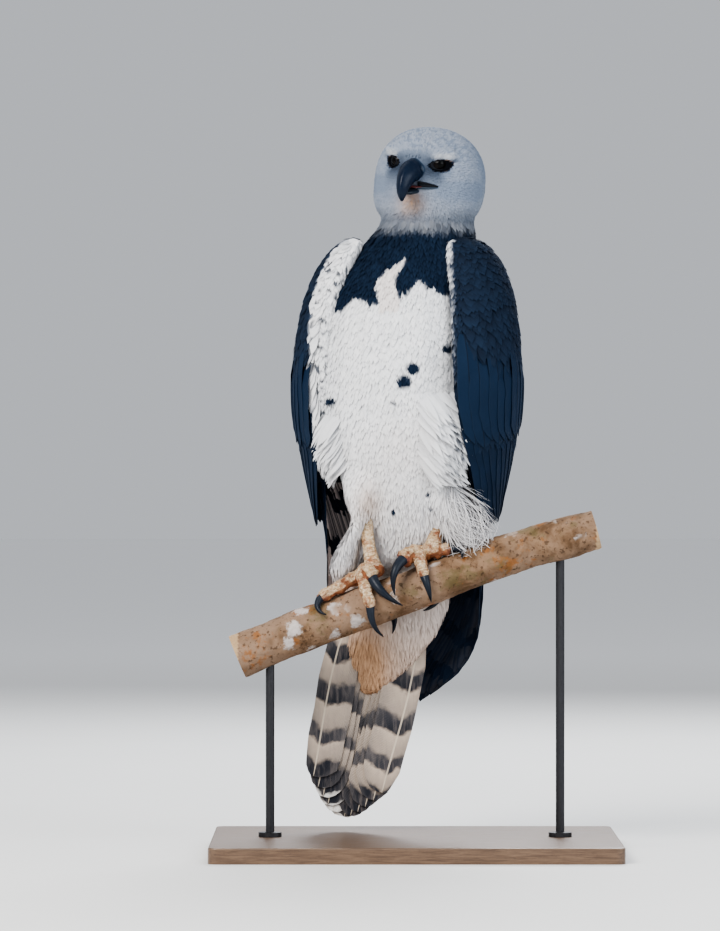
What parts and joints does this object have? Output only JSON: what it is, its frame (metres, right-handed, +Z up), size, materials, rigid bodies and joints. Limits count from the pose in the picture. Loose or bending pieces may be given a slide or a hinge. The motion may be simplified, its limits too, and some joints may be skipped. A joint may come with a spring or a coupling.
{
  "type": "harpy eagle model",
  "caption": "Life-size still model of a harpy eagle with folded wings, gripping a short cut branch that thin rods hold over a flat wooden base.",
  "frame": {"origin": "middle of the underside of the stand's base, on the floor", "axes": "+Z up, +X along the perch towards its raised end at the bird's left, -Y towards the viewer, where the bird looks"},
  "size_m": [0.56, 0.42, 1.0036],
  "materials": {
    "plumage_white": "soft white feathers of breast, belly and legs, with a few dark spots",
    "plumage_grey": "pale grey face and crown feathers",
    "plumage_slate": "slate-black feathers of chest band, back and wings",
    "plumage_barred": "tail feathers barred dark and buff-white",
    "yellow_skin": "pebbled cream-yellow scales with rusty undersides",
    "horn": "blue-black horn, satin",
    "eye": "very dark brown, wet gloss",
    "bark": "tan bark with pale lichen patches",
    "stained_wood": "dark stained, satin",
    "dark_steel": "satin black"
  },
  "bodies": {
    "root": {"bill_lower": "horn", "bill_upper": "horn", "claw_left_hind": "horn", "claw_left_inner": "horn", "claw_left_middle": "horn", "claw_left_outer": "horn", "claw_right_hind": "horn", "claw_right_inner": "horn", "claw_right_middle": "horn", "claw_right_outer": "horn", "eye_left": "eye", "eye_right": "eye", "foot_left": "yellow_skin", "foot_right": "yellow_skin", "head": "plumage_grey", "neck": "plumage_slate", "perch_branch": "bark", "stand_base": "stained_wood", "stand_rod_left": "dark_steel", "stand_rod_right": "dark_steel", "tail": "plumage_barred", "thigh_left": "plumage_white", "thigh_right": "plumage_white", "torso": "plumage_white", "wing_left": "plumage_slate", "wing_right": "plumage_slate"}
  },
  "joints": []
}
